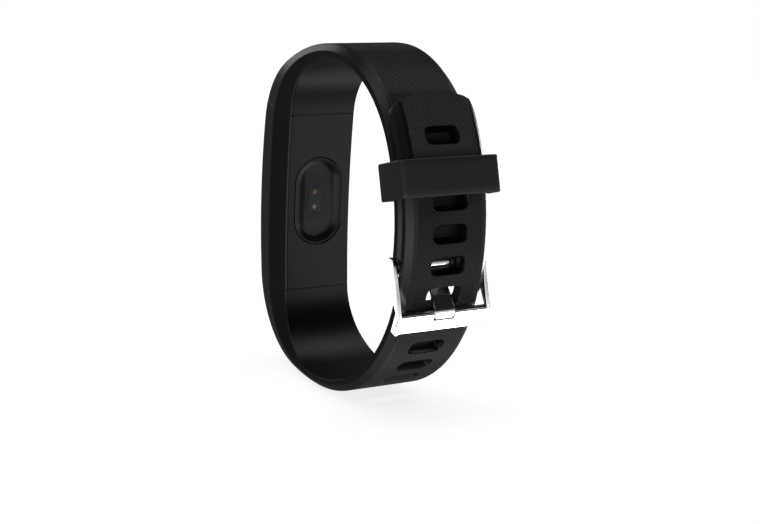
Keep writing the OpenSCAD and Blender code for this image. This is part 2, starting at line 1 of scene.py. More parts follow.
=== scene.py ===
import json
from math import atan2, ceil, cos, degrees, hypot, pi, radians, sin, sqrt, tan

import bmesh
import bpy
from mathutils import Matrix, Vector


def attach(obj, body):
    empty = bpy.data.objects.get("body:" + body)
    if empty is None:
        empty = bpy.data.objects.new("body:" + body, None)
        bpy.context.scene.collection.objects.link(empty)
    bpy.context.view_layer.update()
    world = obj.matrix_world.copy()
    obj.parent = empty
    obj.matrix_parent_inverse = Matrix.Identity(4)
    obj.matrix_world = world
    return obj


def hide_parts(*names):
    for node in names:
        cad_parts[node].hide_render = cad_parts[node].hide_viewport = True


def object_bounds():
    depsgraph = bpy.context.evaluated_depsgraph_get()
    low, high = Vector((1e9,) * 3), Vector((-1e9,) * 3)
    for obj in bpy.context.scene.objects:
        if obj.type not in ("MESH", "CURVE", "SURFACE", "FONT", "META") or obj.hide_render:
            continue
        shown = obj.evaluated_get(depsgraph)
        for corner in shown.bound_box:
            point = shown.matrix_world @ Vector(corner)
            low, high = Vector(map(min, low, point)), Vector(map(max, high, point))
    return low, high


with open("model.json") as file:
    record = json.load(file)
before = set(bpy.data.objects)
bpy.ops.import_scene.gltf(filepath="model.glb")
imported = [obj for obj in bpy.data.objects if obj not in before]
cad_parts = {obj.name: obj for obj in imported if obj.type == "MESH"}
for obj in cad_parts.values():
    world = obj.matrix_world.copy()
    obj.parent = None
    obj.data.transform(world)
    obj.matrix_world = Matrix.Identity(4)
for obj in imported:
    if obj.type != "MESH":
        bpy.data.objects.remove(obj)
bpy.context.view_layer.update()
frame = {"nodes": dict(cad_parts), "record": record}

MM = 0.001

# ---------------------------------------------------------------- camera
cam_data = bpy.data.cameras.new("camera")
cam_data.lens = 75.16
cam_data.sensor_width = 36
camera = bpy.data.objects.new("camera", cam_data)
bpy.context.scene.collection.objects.link(camera)
# the camera's axes, and its place in metres
cam_right = Vector((0.51682, 0.855076, 0.04175))
cam_up = Vector((-0.215595, 0.082802, 0.972966))
cam_back = Vector((0.828502, -0.511849, 0.227144))
cam_matrix = Matrix((cam_right, cam_up, cam_back)).transposed().to_4x4()
cam_matrix.translation = Vector((0.27252, -0.166332, 0.066043))
camera.matrix_world = cam_matrix
bpy.context.scene.camera = camera

# ---------------------------------------------------------------- sizes, in millimetres
BAND_W = 19.0
STRAP_T = 2.5
STRAP_GAP = 0.25
BEVEL_D = 1.4
BEVEL_W = 1.5
OPENING = 46.5
TRACKER_T = 11.8
WIDEST_D = 7.1
SEAM_Z = 20.2
SEAM_TILT = 12.0
TIP_A = 37.4
PIN_A = -7.4
BAR_A = -20.2
TONGUE_A = -14.5
KEEPER_A = 15.5


def add(a, b, k=1.0):
    return (a[0] + k * b[0], a[1] + k * b[1])


def sub(a, b):
    return (a[0] - b[0], a[1] - b[1])


def direction(a):
    return (cos(radians(a)), sin(radians(a)))


def on(c, r, a):
    return add(c, direction(a), r)


def corner(c1, r1, c2, r2, a2):
    """Circle that touches circle 1 from inside, and circle 2 from inside at angle a2."""
    u = direction(a2)
    d = sub(on(c2, r2, a2), c1)
    r = (d[0] ** 2 + d[1] ** 2 - r1 ** 2) / (2 * (d[0] * u[0] + d[1] * u[1] - r1))
    c = add(c2, u, r2 - r)
    return c, r, degrees(atan2(c[1] - c1[1], c[0] - c1[0])) % 360


WRIST_R = 40.0
wrist_c = (OPENING / 2 - WRIST_R, 2.0)
UPPER_R, UPPER_A = 25.0, 26.0
LOWER_R, LOWER_A = 29.2, -18.5
upper_c = on(wrist_c, WRIST_R - UPPER_R, UPPER_A)
lower_c = on(wrist_c, WRIST_R - LOWER_R, LOWER_A)
long_in = WRIST_R + STRAP_T + STRAP_GAP
long_out = long_in + STRAP_T
low_in = LOWER_R + STRAP_T + STRAP_GAP
low_out = low_in + STRAP_T
back_x = -OPENING / 2
front_x = back_x - TRACKER_T
widest_x = front_x + WIDEST_D
back_c, back_r, back_a = (back_x + 240, 0), 240, 4.6
front_c, front_r, front_a = (front_x + 140, 0), 140, 7
top_r, bottom_r = 44, 56
top_c = on(upper_c, UPPER_R + STRAP_T - top_r, 90)
bottom_c = on(lower_c, low_out - bottom_r, -90)
up_out_c, up_out_r, up_out_a = corner(top_c, top_r, front_c, front_r, 180 - front_a)
up_in_c, up_in_r, up_in_a = corner(upper_c, UPPER_R, back_c, back_r, 180 - back_a)
lo_out_c, lo_out_r, lo_out_a = corner(bottom_c, bottom_r, front_c, front_r, 180 + front_a)
lo_in_c, lo_in_r, lo_in_a = corner(lower_c, low_in, back_c, back_r, 180 + back_a)


# ---------------------------------------------------------------- mesh helpers
def arc(c, r, a0, a1, step=0.25):
    n = max(2, int(ceil(abs(radians(a1 - a0)) * r / step)))
    return [on(c, r, a0 + (a1 - a0) * i / n) for i in range(n + 1)]


def lengths(line):
    total = [0.0]
    for a, b in zip(line, line[1:]):
        total.append(total[-1] + hypot(b[0] - a[0], b[1] - a[1]))
    return total


def along(line, total, s):
    s = min(max(s, 0), total[-1])
    for i in range(1, len(total)):
        if total[i] >= s:
            k = (s - total[i - 1]) / max(total[i] - total[i - 1], 1e-9)
            a, b = line[i - 1], line[i]
            return (a[0] + k * (b[0] - a[0]), a[1] + k * (b[1] - a[1]))
    return line[-1]


def smooth(t):
    t = min(max(t, 0.0), 1.0)
    return t * t * (3 - 2 * t)


def mix(a, b, t):
    return a + (b - a) * t


def new_object(name, verts, faces, materials=(), indices=None, uvs=None, angle=32):
    mesh = bpy.data.meshes.new(name)
    mesh.from_pydata([Vector(v) * MM for v in verts], [], faces)
    for m in materials:
        mesh.materials.append(m)
    if indices:
        mesh.polygons.foreach_set("material_index", indices)
    if uvs:
        layer = mesh.uv_layers.new(name="pattern")
        for loop in mesh.loops:
            layer.data[loop.index].uv = uvs[loop.vertex_index]
    bm = bmesh.new()
    bm.from_mesh(mesh)
    bmesh.ops.recalc_face_normals(bm, faces=bm.faces)
    bm.to_mesh(mesh)
    bm.free()
    obj = bpy.data.objects.new(name, mesh)
    bpy.context.scene.collection.objects.link(obj)
    shade(mesh, angle)
    return obj


def shade(mesh, angle):
    mesh.polygons.foreach_set("use_smooth", [True] * len(mesh.polygons))
    mesh.set_sharp_from_angle(angle=radians(angle))


def apply_all(obj, angle=32):
    """Bakes the object's modifiers into its mesh."""
    graph = bpy.context.evaluated_depsgraph_get()
    mesh = bpy.data.meshes.new_from_object(obj.evaluated_get(graph))
    obj.modifiers.clear()
    old = obj.data
    obj.data = mesh
    bpy.data.meshes.remove(old)
    shade(obj.data, angle)


def cut(obj, cutter, angle=32):
    mod = obj.modifiers.new("cut", "BOOLEAN")
    mod.operation = "DIFFERENCE"
    mod.solver = "EXACT"
    mod.object = cutter
    apply_all(obj, angle)
    bpy.data.objects.remove(cutter)


def rings(loops, close_ends=True):
    """Faces between rings of equal length, with n-gon ends."""
    n = len(loops[0])
    verts = [v for loop in loops for v in loop]
    faces = []
    for i in range(len(loops) - 1):
        for k in range(n):
            m = (k + 1) % n
            faces.append((i * n + k, i * n + m, (i + 1) * n + m, (i + 1) * n + k))
    if close_ends:
        faces.append(tuple(range(n - 1, -1, -1)))
        last = (len(loops) - 1) * n
        faces.append(tuple(range(last, last + n)))
    return verts, faces


def rounded_corners(points, radii, seg):
    """A closed outline with each corner replaced by a short curve of seg + 1 points."""
    out = []
    n = len(points)
    for i, p in enumerate(points):
        a, b = points[i - 1], points[(i + 1) % n]
        la = max(hypot(a[0] - p[0], a[1] - p[1]), 1e-9)
        lb = max(hypot(b[0] - p[0], b[1] - p[1]), 1e-9)
        r = min(radii[i], 0.45 * la, 0.45 * lb)
        s = (p[0] + (a[0] - p[0]) * r / la, p[1] + (a[1] - p[1]) * r / la)
        e = (p[0] + (b[0] - p[0]) * r / lb, p[1] + (b[1] - p[1]) * r / lb)
        for k in range(seg + 1):
            t = k / seg
            out.append(tuple((1 - t) ** 2 * s[j] + 2 * t * (1 - t) * p[j] + t * t * e[j] for j in (0, 1)))
    return out


def outline_offset(points, d):
    """Moves a closed counter-clockwise outline inwards by d."""
    n = len(points)
    out = []
    for i, p in enumerate(points):
        a, b = points[i - 1], points[(i + 1) % n]
        t1 = Vector((p[0] - a[0], p[1] - a[1])).normalized()
        t2 = Vector((b[0] - p[0], b[1] - p[1])).normalized()
        t = (t1 + t2)
        if t.length < 1e-6:
            t = t1
        t.normalize()
        k = 1 / max(0.5, t.dot(t1))
        out.append((p[0] - t.y * d * k, p[1] + t.x * d * k))
    return out


def plate(name, outline, y0, y1, r, place, materials, angle=40, seg=4):
    """An outline extruded from y0 to y1, with all its edges rounded. place(u, y, v) gives the point."""
    area = sum(a[0] * b[1] - b[0] * a[1] for a, b in zip(outline, outline[1:] + outline[:1]))
    if area < 0:
        outline = outline[::-1]
    turns = [pi / 2 * i / seg for i in range(seg + 1)]
    edge = [(r * (1 - sin(a)), outline_offset(outline, r * (1 - cos(a)))) for a in turns]
    stack = [(y0 + d, o) for d, o in edge[::-1]] + [(y1 - d, o) for d, o in edge]
    verts, faces = rings([[place(u, y, v) for u, v in o] for y, o in stack])
    return new_object(name, verts, faces, materials, angle=angle)


# ---------------------------------------------------------------- materials
def material(name, colour, rough=0.5, metallic=0.0):
    m = bpy.data.materials.new(name)
    m.use_nodes = True
    b = m.node_tree.nodes["Principled BSDF"]
    b.inputs["Base Color"].default_value = (*colour, 1)
    b.inputs["Roughness"].default_value = rough
    b.inputs["Metallic"].default_value = metallic
    return m, m.node_tree, b


def node(tree, kind, **props):
    n = tree.nodes.new(kind)
    for k, v in props.items():
        setattr(n, k, v)
    return n


def noise(tree, scale, detail=3, rough=0.6):
    coord = node(tree, "ShaderNodeTexCoord")
    n = node(tree, "ShaderNodeTexNoise")
    n.inputs["Scale"].default_value = scale
    n.inputs["Detail"].default_value = detail
    n.inputs["Roughness"].default_value = rough
    tree.links.new(coord.outputs["Object"], n.inputs["Vector"])
    return n.outputs["Fac"]


def math(tree, op, a, b=None, c=None):
    n = node(tree, "ShaderNodeMath", operation=op)
    for i, v in enumerate((a, b, c)):
        if v is None:
            continue
        if isinstance(v, (int, float)):
            n.inputs[i].default_value = v
        else:
            tree.links.new(v, n.inputs[i])
    return n.outputs[0]


def remap(tree, value, lo, hi):
    n = node(tree, "ShaderNodeMapRange")
    tree.links.new(value, n.inputs["Value"])
    n.inputs["From Min"].default_value = 0.3
    n.inputs["From Max"].default_value = 0.7
    n.inputs["To Min"].default_value = lo
    n.inputs["To Max"].default_value = hi
    return n.outputs["Result"]


def tint(tree, value, a, b):
    ramp = node(tree, "ShaderNodeValToRGB")
    ramp.color_ramp.elements[0].position = 0.35
    ramp.color_ramp.elements[0].color = (*a, 1)
    ramp.color_ramp.elements[1].position = 0.65
    ramp.color_ramp.elements[1].color = (*b, 1)
    tree.links.new(value, ramp.inputs["Fac"])
    return ramp.outputs["Color"]


def bump(tree, shader, height, distance, strength=1.0, before=None):
    b = node(tree, "ShaderNodeBump")
    b.inputs["Distance"].default_value = distance
    b.inputs["Strength"].default_value = strength
    tree.links.new(height, b.inputs["Height"])
    if before:
        tree.links.new(before, b.inputs["Normal"])
    tree.links.new(b.outputs["Normal"], shader.inputs["Normal"])
    return b.outputs["Normal"]


MOTTLE = 0.06


def shades(colour):
    """A slightly darker and a slightly lighter shade of a colour."""
    return tuple(c * (1 - MOTTLE) for c in colour), tuple(min(1, c * (1 + MOTTLE)) for c in colour)


def rubber(name, colour, rough, ridges):
    """Moulded elastomer: faint mottling, fine grain, and raised lines where the pattern map says."""
    m, t, b = material(name, colour, rough)
    t.links.new(tint(t, noise(t, 90), *shades(colour)), b.inputs["Base Color"])
    t.links.new(remap(t, noise(t, 350), rough - 0.015, rough + 0.02), b.inputs["Roughness"])
    grain = bump(t, b, noise(t, 5200, 2), 0.00001, 0.35)
    if ridges:
        uv = node(t, "ShaderNodeUVMap", uv_map="pattern")
        split = node(t, "ShaderNodeSeparateXYZ")
        t.links.new(uv.outputs["UV"], split.inputs[0])
        wave = math(t, "PINGPONG", split.outputs["X"], 0.5)
        shaped = math(t, "SMOOTH_MIN", math(t, "MULTIPLY", wave, 2.6), 0.9, 0.25)
        height = math(t, "MULTIPLY", shaped, split.outputs["Y"])
        bump(t, b, height, 0.00016, 1.0, grain)
    b.inputs["Specular IOR Level"].default_value = 0.5
    return m


strap_rubber = rubber("strap_rubber", (0.0025, 0.0025, 0.0028), 0.33, True)
keeper_rubber = rubber("keeper_rubber", (0.028, 0.028, 0.029), 0.3, False)


def plastic(name, colour, rough, grain=0.00001):
    m, t, b = material(name, colour, rough)
    t.links.new(tint(t, noise(t, 160), *shades(colour)), b.inputs["Base Color"])
    t.links.new(remap(t, noise(t, 500), max(rough - 0.015, 0.02), rough + 0.02), b.inputs["Roughness"])
    bump(t, b, noise(t, 4200, 2), grain, 0.35)
    return m


def metal(name, colour, rough, scratches=0.00001):
    m, t, b = material(name, colour, rough, 1.0)
    t.links.new(remap(t, noise(t, 700, 5), max(rough - 0.04, 0.02), rough + 0.06), b.inputs["Roughness"])
    t.links.new(tint(t, noise(t, 120), shades(colour)[0], colour), b.inputs["Base Color"])
    bump(t, b, noise(t, 1500, 4), scratches, 0.12)
    return m


case_plastic = plastic("case_plastic", (0.004, 0.004, 0.0045), 0.32)
bezel_black = plastic("bezel_black", (0.012, 0.012, 0.014), 0.22)
chrome = metal("buckle_chrome", (0.9, 0.905, 0.915), 0.09)
steel = metal("screw_steel", (0.62, 0.63, 0.65), 0.3)
gold = metal("gold_plate", (0.86, 0.62, 0.24), 0.25)
silver = metal("die_silver", (0.85, 0.86, 0.88), 0.22)
glass, glass_tree, glass_bsdf = material("window_dark", (0.006, 0.006, 0.007), 0.05)
glass_bsdf.inputs["Transmission Weight"].default_value = 0.0
glass_bsdf.inputs["Alpha"].default_value = 0.35
glass_bsdf.inputs["Coat Weight"].default_value = 0.6
glass_tree.links.new(remap(glass_tree, noise(glass_tree, 300), 0.03, 0.08), glass_bsdf.inputs["Roughness"])
bump(glass_tree, glass_bsdf, noise(glass_tree, 220, 1), 0.000003, 0.05)

SLOTS = {
    "case_plastic": case_plastic, "bezel_black": bezel_black, "buckle_chrome": chrome, "screw_steel": steel,
    "gold_plate": gold, "die_silver": silver, "window_dark": glass, "strap_rubber": keeper_rubber,
    "gasket_rubber": plastic("gasket_rubber", (0.05, 0.05, 0.055), 0.6),
    "lens_black": plastic("lens_black", (0.008, 0.008, 0.01), 0.07, 0.000001),
    "adhesive_foam": plastic("adhesive_foam", (0.03, 0.03, 0.03), 0.8),
    "display_glass": plastic("display_glass", (0.02, 0.024, 0.035), 0.12, 0.000001),
    "flex_film": plastic("flex_film", (0.5, 0.24, 0.06), 0.3),
    "board_green": plastic("board_green", (0.03, 0.16, 0.08), 0.35),
    "chip_black": plastic("chip_black", (0.03, 0.03, 0.032), 0.5),
    "ceramic_white": plastic("ceramic_white", (0.72, 0.7, 0.64), 0.5),
    "battery_foil": metal("battery_foil", (0.72, 0.73, 0.75), 0.35),
    "lead_red": plastic("lead_red", (0.5, 0.04, 0.04), 0.45),
    "weight_metal": metal("weight_metal", (0.4, 0.38, 0.35), 0.45),
    "guard_plastic": plastic("guard_plastic", (0.16, 0.17, 0.2), 0.5),
}
for part in frame["record"]["subparts"]:
    obj = frame["nodes"][part["node"]]
    obj.data.materials.clear()
    obj.data.materials.append(SLOTS[part["material_slot"]])


# ---------------------------------------------------------------- straps and case
# a section's half-widths inside, at its widest and outside, where the widest is as a share of the thickness,
# and the corner radii inside, at the widest and outside
TRACKER_SECTION = (7.7, 9.5, 8.1, 0.4, 0.35, 0.5, 0.7)
STRAP_SECTION = (9.5, 9.5, 8.0, 0.44, 0.14, 0.28, 0.3)
INNER_CELLS, OUTER_CELLS, ROUND = 8, 24, 3
THIN = 0.02
HOLD, HOLD_SHARE = 0.1, 0.3
RIDGE_ACROSS, RIDGE_ALONG, RIDGE_PITCH = 0.72, 0.69, 0.52
LIP = ((0.03, 0.03), (0.08, 0.01), (0.16, 0.0))


def blend_sections(t):
    return tuple(mix(a, b, t) for a, b in zip(TRACKER_SECTION, STRAP_SECTION))


def section_ring(inner, outer, sizes, inset=0.0):
    """Six-sided section with rounded corners, from inner (x, z) to outer (x, z). Returns points and mask."""
    wi, ww, wo, tw, ri, rw, ro = sizes
    d = sub(outer, inner)
    thick = hypot(*d)
    u = (d[0] / thick, d[1] / thick)
    h0, h1 = inset, thick - inset
    hw = min(max(tw * thick, h0 + THIN), h1 - THIN)
    wi, ww, wo = (max(w - inset, 0.01) for w in (wi, ww, wo))
    corners = [(-wi, h0), (wi, h0), (ww, hw), (wo, h1), (-wo, h1), (-ww, hw)]
    curve = rounded_corners(corners, [ri, ri, rw, ro, ro, rw], ROUND)
    k = ROUND + 1
    out, mask = [], []
    for i in range(6):
        chunk = curve[i * k:(i + 1) * k]
        out += chunk
        mask += [0.0] * k
        cells = INNER_CELLS if i == 0 else OUTER_CELLS if i == 3 else 1
        nxt = curve[((i + 1) % 6) * k]
        side = hypot(nxt[0] - chunk[-1][0], nxt[1] - chunk[-1][1])
        hold = min(HOLD / max(side, HOLD), HOLD_SHARE)
        for f in [hold] + [j / cells for j in range(1, cells)] + [1 - hold]:
            out.append((mix(chunk[-1][0], nxt[0], f), mix(chunk[-1][1], nxt[1], f)))
            mask.append(1.0 if i == 3 and hold < f < 1 - hold else 0.0)
    return [(inner[0] + u[0] * h, y, inner[1] + u[1] * h) for y, h in out], mask


def seam_side(p, side):
    return side * p[1] - (SEAM_Z - (p[0] - widest_x) * tan(radians(SEAM_TILT)))


def split(line, side):
    """Cuts a line at a seam, and returns the stretch before and after it."""
    for i in range(1, len(line)):
        a, b = seam_side(line[i - 1], side), seam_side(line[i], side)
        if (a > 0) != (b > 0):
            k = a / (a - b)
            p = (mix(line[i - 1][0], line[i][0], k), mix(line[i - 1][1], line[i][1], k))
            return line[:i] + [p], [p] + line[i:]


outer_line = (arc(top_c, top_r, 90, up_out_a) + arc(up_out_c, up_out_r, up_out_a, 180 - front_a)[1:]
              + arc(front_c, front_r, 180 - front_a, 180 + front_a)[1:]
              + arc(lo_out_c, lo_out_r, 180 + front_a, lo_out_a)[1:]
              + arc(bottom_c, bottom_r, lo_out_a, 270)[1:])
inner_line = (arc(upper_c, UPPER_R, 90, up_in_a) + arc(up_in_c, up_in_r, up_in_a, 180 - back_a)[1:]
              + arc(back_c, back_r, 180 - back_a, 180 + back_a)[1:]
              + arc(lo_in_c, lo_in_r, 180 + back_a, lo_in_a)[1:] + arc(lower_c, low_in, lo_in_a, 270)[1:])
o_top, rest = split(outer_line, 1)
o_mid, o_low = split(rest, -1)
i_top, rest = split(inner_line, 1)
i_mid, i_low = split(rest, -1)


def stretch(inner, outer, count, sizes):
    """Stations (inner, outer, sizes) along two matching lines."""
    li, lo = lengths(inner), lengths(outer)
    return [(along(inner, li, li[-1] * i / count), along(outer, lo, lo[-1] * i / count), sizes(i / count))
            for i in range(count + 1)]


def tip_half(t, side, r, rc):
    """Half-width of the tip's outline at distance t below its peak."""
    cy = side - rc
    cz = sqrt((r - rc) ** 2 - cy * cy) - r
    z = -t
    if z <= cz:
        return side
    ca = atan2(cz + r, cy)
    if z > cz + rc * sin(ca):
        return sqrt(max(r * r - (z + r) ** 2, 0))
    return cy + sqrt(max(rc * rc - (z - cz) ** 2, 0))


def build_band(name, stations, kinks, pattern, materials):
    """Lofts the stations. The pattern map holds the raised lines' phase and their strength."""
    loops, uvs = [], []
    s = 0.0
    previous = None
    zig = 0.0
    for inner, outer, sizes, inset in stations:
        if previous:
            ds = hypot(outer[0] - previous[0], outer[1] - previous[1])
            s += ds
            heading = 1.0
            for k in kinks:
                if s > k:
                    heading = -heading
            zig += heading * ds
        previous = outer
        ring, mask = section_ring(inner, outer, sizes, inset)
        loops.append(ring)
        strength = pattern(s)
        for p, m in zip(ring, mask):
            uvs.append(((p[1] * RIDGE_ACROSS + zig * RIDGE_ALONG) / RIDGE_PITCH, m * strength))
    verts, faces = rings(loops)
    return new_object(name, verts, faces, materials, uvs=uvs, angle=28)


def lip(end, beside):
    """Stations that round off an end: each a share of the way to the station beside it, with an inset."""
    def between(p, q, k):
        return tuple(mix(p[j], q[j], k) for j in (0, 1))
    return [(between(end[0], beside[0], k), between(end[1], beside[1], k), end[2], inset) for k, inset in LIP]


def with_insets(stations, first, last):
    """Adds rounded lips at the ends that meet a seam."""
    out = [(a, b, c, 0.0) for a, b, c in stations]
    if first:
        out = lip(out[0], out[1]) + out[1:]
    if last:
        out = out[:-1] + lip(out[-1], out[-2])[::-1]
    return out


SEAM_STATIONS = 44
LUG_LEAD = 1.4
UPPER_KINKS = (34, 49, 58)
TIP_SPAN = 12
TIP_ROWS = 14
TIP_R, TIP_CORNER_R = 19, 3
TIP_KINK = 7.5
RIDGES_TO, RIDGES_FADE, RIDGES_LOSS = 52, 10.0, 0.85
SLOT_COUNT, TONGUE_SLOT, SLOT_PITCH = 11, 6, 6.35
SLOT_W, SLOT_H, SLOT_R = 7.8, 3.65, 1.7
SLOT_FLARE, SLOT_FLARE_R = 0.25, 0.15
TONGUE_SLOT_TALLER = 0.35


# upper strap: from the lug, over the wrist, to the upper seam
def arc_stations(c, r_in, r_out, a0, a1, step=0.6):
    n = max(2, int(ceil(abs(radians(a1 - a0)) * r_out / step)))
    return [(on(c, r_in, a0 + (a1 - a0) * i / n), on(c, r_out, a0 + (a1 - a0) * i / n), STRAP_SECTION)
            for i in range(n + 1)]


upper = (arc_stations(wrist_c, WRIST_R, WRIST_R + STRAP_T, PIN_A + LUG_LEAD, UPPER_A)
         + arc_stations(upper_c, UPPER_R, UPPER_R + STRAP_T, UPPER_A, 90)[1:]
         + stretch(i_top, o_top, SEAM_STATIONS, lambda t: blend_sections(1 - smooth(t)))[1:])
upper_strap = build_band("upper_strap_skin", with_insets(upper, False, True), UPPER_KINKS, lambda s: 1.0,
                         [strap_rubber])
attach(upper_strap, "band")
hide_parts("upper_strap")

# lower strap: from the lower seam, under the wrist, up to the tip
lower = (stretch(i_low, o_low, SEAM_STATIONS, lambda t: blend_sections(smooth(t)))
         + arc_stations(lower_c, low_in, low_out, -90, LOWER_A)[1:]
         + arc_stations(wrist_c, long_in, long_out, LOWER_A, TIP_A - TIP_SPAN)[1:])
tip_mm = radians(TIP_SPAN) * long_out
side = BAND_W / 2
for t in [tip_mm * (1 - i / TIP_ROWS) for i in range(1, TIP_ROWS)] + [0.5, 0.3, 0.16, 0.07, 0.02, 0.0]:
    a = TIP_A - degrees(t / long_out)
    ww = max(tip_half(t, side, TIP_R, TIP_CORNER_R), 0.02)
    k = min(max((side - ww) / BEVEL_W, 0), 1)
    tw = (STRAP_T - BEVEL_D * (1 - k)) / STRAP_T
    lower.append((on(wrist_c, long_in, a), on(wrist_c, long_out, a),
                  (ww, ww, min(side - BEVEL_W, ww - 0.005), min(tw, 0.97), 0.14, 0.2, 0.2)))
lower_full = sum(hypot(b[1][0] - a[1][0], b[1][1] - a[1][1]) for a, b in zip(lower, lower[1:]))
lower_strap = build_band(
    "lower_strap_skin", with_insets(lower, True, False), (lower_full - TIP_KINK,),
    lambda s: 1.0 - smooth((lower_full - s - RIDGES_TO) / RIDGES_FADE) * RIDGES_LOSS, [strap_rubber])


def slot_frames():
    """Each slot's number, and its arc's centre, inner radius and angle, from the tip down."""
    out = []
    for i in range(1, SLOT_COUNT + 1):
        s = (i - TONGUE_SLOT) * SLOT_PITCH
        a = TONGUE_A - degrees(s / long_out)
        if a > LOWER_A:
            out.append((i, wrist_c, long_in, a))
        else:
            rest = s - radians(TONGUE_A - LOWER_A) * long_out
            out.append((i, lower_c, low_in, LOWER_A - degrees(rest / low_out)))
    return out


def stadium(w, h, n=10):
    """Outline as long as w along the first axis, and h wide."""
    r = h / 2
    pts = []
    for i in range(n + 1):
        a = -pi / 2 + pi * i / n
        pts.append(((w / 2 - r) + r * cos(a), r * sin(a)))
    for i in range(n + 1):
        a = pi / 2 + pi * i / n
        pts.append((-(w / 2 - r) + r * cos(a), r * sin(a)))
    return pts


def slot_outline(w, h, r):
    return rounded_corners([(-w / 2, -h / 2), (w / 2, -h / 2), (w / 2, h / 2), (-w / 2, h / 2)], [r] * 4, 8)


cutter_v, cutter_f = [], []
for i, c, r_in, a in slot_frames():
    up_dir = direction(a + 90)
    inner_size, extra = (6.6, 2.3, 0.35), 0.0
    if i == TONGUE_SLOT:
        inner_size, extra = (SLOT_W, 3.9, 1.8), TONGUE_SLOT_TALLER
    mouth = (SLOT_W, SLOT_H + extra, SLOT_R)
    flare = (SLOT_W + SLOT_FLARE, SLOT_H + SLOT_FLARE + extra, SLOT_R + SLOT_FLARE_R)
    levels = [(-1.0, inner_size), (0.25, inner_size), (STRAP_T - 0.12, mouth), (STRAP_T + 0.04, flare),
              (STRAP_T + 1.0, flare)]
    loops = []
    for h, (w, hh, r) in levels:
        base = on(c, r_in + h, a)
        loops.append([(base[0] + up_dir[0] * v, y, base[1] + up_dir[1] * v)
                      for y, v in slot_outline(w, hh, r)])
    v, f = rings(loops)
    cutter_f += [tuple(k + len(cutter_v) for k in face) for face in f]
    cutter_v += v
slot_cutter = new_object("slot_cutter", cutter_v, cutter_f, [strap_rubber], uvs=[(0.0, 0.0)] * len(cutter_v))
cut(lower_strap, slot_cutter, 28)
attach(lower_strap, "band")
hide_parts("lower_strap")

# tracker
mid = stretch(i_mid, o_mid, 64, lambda t: TRACKER_SECTION)
tracker = build_band("tracker_shell", with_insets(mid, True, True), (), lambda s: 0.0, [case_plastic])


SENSOR_LONGER = 7.6


def sensor_ring(w, x, longer=SENSOR_LONGER):
    """A stadium across the back, as wide as w and longer by a fixed length."""
    return [(x, y, z) for z, y in stadium(w + longer, w, 14)]


def sensor_rings(profile):
    """Rings from (width, depth in front of the back's face) pairs; a negative depth lies inside the case."""
    return [sensor_ring(w, back_x + depth) for w, depth in profile]


v, f = rings(sensor_rings([(11.6, -3.2), (11.6, -0.16), (11.95, 0.05), (11.95, 2)]))
sensor_cutter = new_object("sensor_cutter", v, f, [case_plastic], uvs=[(0.0, 0.0)] * len(v))
cut(tracker, sensor_cutter, 28)
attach(tracker, "band")
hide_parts("tracker_case", "back_cover", "front_lens")

# front lens, set flush in the front: a grid over its outline, bent to the front's arc
def front_at(z):
    """X of the tracker's front at height z."""
    if abs(z) <= front_r * sin(radians(front_a)):
        return front_c[0] - sqrt(front_r ** 2 - z * z)
    c, r = (up_out_c, up_out_r) if z > 0 else (lo_out_c, lo_out_r)
    return c[0] - sqrt(r * r - (z - c[1]) ** 2)


LENS_HALF_W, LENS_HALF_H, LENS_CORNER_R = 7.2, 18, 3
LENS_ROWS = 60
LENS_PROUD = 0.03
# the lens's side edge, as (depth behind its face, distance in from its side)
LENS_EDGE = ((0.8, 0.0), (0.12, 0.0), (0.03, 0.04), (0.0, 0.14))
lens_loops = []
for k in range(LENS_ROWS + 1):
    z = LENS_HALF_H * (2 * k / LENS_ROWS - 1)
    drop = max(abs(z) - (LENS_HALF_H - LENS_CORNER_R), 0)
    w = LENS_HALF_W - LENS_CORNER_R + sqrt(max(LENS_CORNER_R ** 2 - drop * drop, 0))
    x = front_at(z) - LENS_PROUD
    lens_loops.append([(x + d, e - w, z) for d, e in LENS_EDGE]
                      + [(x + d, w - e, z) for d, e in LENS_EDGE[::-1]])
v, f = rings(lens_loops)
front_lens = new_object("front_lens_glass", v, f, [SLOTS["lens_black"]], angle=25)
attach(front_lens, "band")

# sensor: bezel with a sloping ring and crowned window, over the model's own boards and dies
v, f = rings(sensor_rings([(11.45, -1.7), (11.45, -0.32), (11.25, -0.14), (10.9, -0.12), (10.6, -0.2),
                           (8.5, -0.62), (8.25, -0.72), (8.2, -1.5)]), close_ends=False)
bezel = new_object("sensor_ring", v, f, [bezel_black], angle=35)
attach(bezel, "band")
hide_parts("sensor_bezel")

WINDOW_W, WINDOW_DEPTH, WINDOW_CROWN, WINDOW_RINGS = 8.16, -0.72, 0.3, 8
window_loops = sensor_rings([(WINDOW_W, -1.4), (WINDOW_W, WINDOW_DEPTH)])
for k in range(1, WINDOW_RINGS + 1):
    t = k / WINDOW_RINGS
    rise = WINDOW_DEPTH + WINDOW_CROWN * (1 - (1 - t) ** 2)
    window_loops.append(sensor_ring(mix(WINDOW_W, 0.4, t), back_x + rise, mix(SENSOR_LONGER, 7.5, t)))
v, f = rings(window_loops)
window = new_object("sensor_lens", v, f, [glass], angle=60)
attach(window, "band")
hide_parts("sensor_window")

# ---------------------------------------------------------------- keeper
KEEPER_GAP, KEEPER_T, KEEPER_FOOT_T = 0.35, 1.4, 1.7
KEEPER_HALF, KEEPER_EDGE, EDGE_STEPS = 3.65, 0.35, 4
keeper_half_w = BAND_W / 2 + KEEPER_GAP + KEEPER_T
r0, r1 = WRIST_R - KEEPER_GAP - KEEPER_FOOT_T, long_out + KEEPER_GAP + KEEPER_T


def keeper_outline(low, high, half_w, radii):
    return rounded_corners([(low, -half_w), (high, -half_w), (high, half_w), (low, half_w)], radii, 8)


